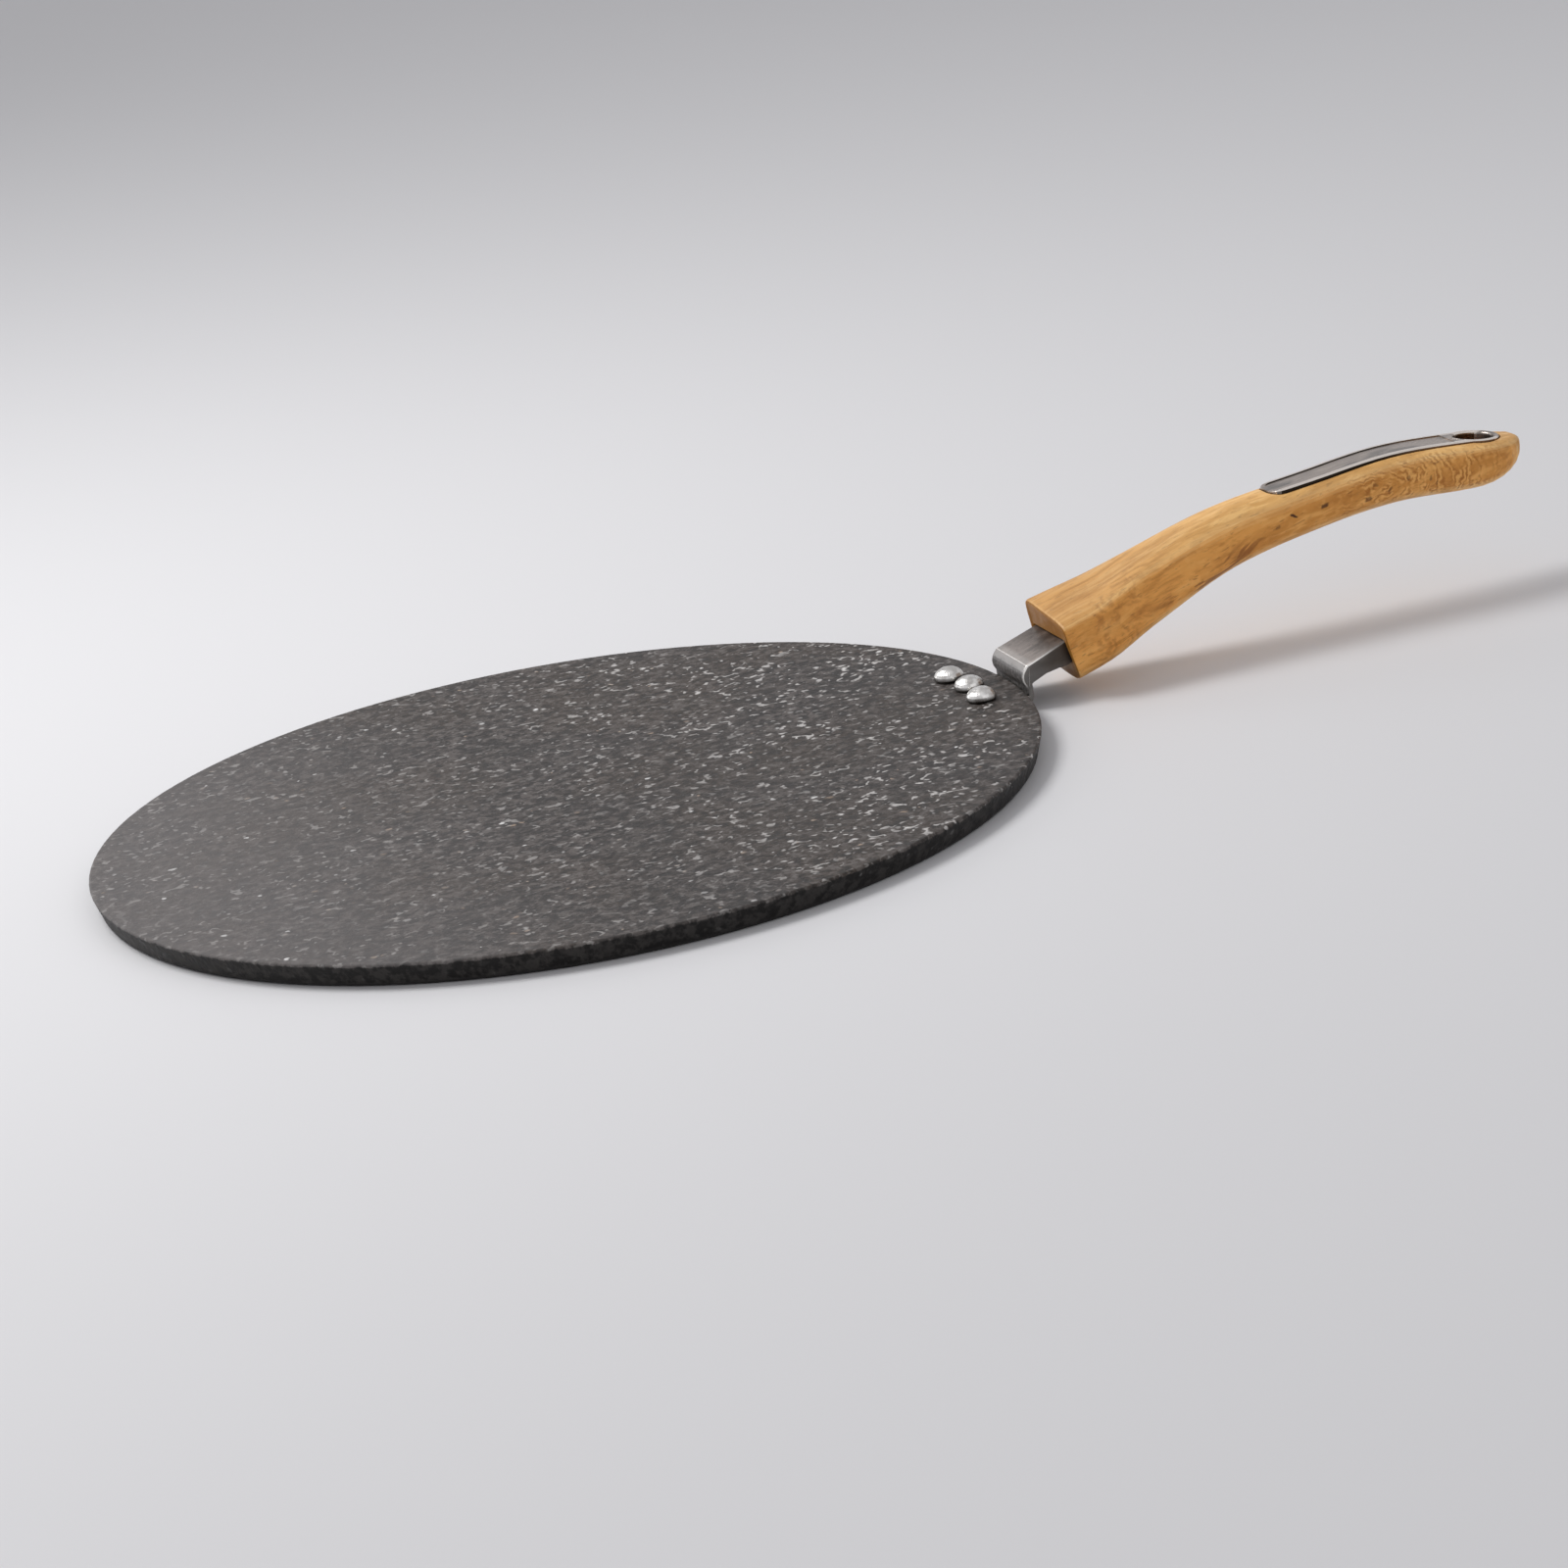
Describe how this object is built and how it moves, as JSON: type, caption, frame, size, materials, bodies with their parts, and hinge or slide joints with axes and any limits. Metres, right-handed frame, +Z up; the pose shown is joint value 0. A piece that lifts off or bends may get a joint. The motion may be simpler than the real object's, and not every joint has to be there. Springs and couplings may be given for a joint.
{
  "type": "tawa",
  "caption": "Flat round coated griddle pan with a riveted steel channel bracket and a curved wood-finish grip that carries a steel inlay and hanging eyelet.",
  "frame": {"origin": "centre of the disc's flat base, on the surface that the pan stands on", "axes": "+Z up, out of the cooking face; +X from the disc's centre along the handle"},
  "size_m": [0.4541, 0.28, 0.0496],
  "materials": {
    "granite_coating": "matte",
    "rivet_aluminium": "gloss",
    "bracket_steel": "satin",
    "wood_finish": "satin",
    "inlay_steel": "satin",
    "fixing_steel": "satin"
  },
  "bodies": {
    "root": {"pan_disc": "granite_coating", "rivet_left": "rivet_aluminium", "rivet_centre": "rivet_aluminium", "rivet_right": "rivet_aluminium", "handle_bracket": "bracket_steel", "handle_grip": "wood_finish", "handle_inlay": "inlay_steel", "handle_screw": "fixing_steel", "screw_washer": "fixing_steel", "bracket_nut": "fixing_steel"}
  },
  "joints": []
}
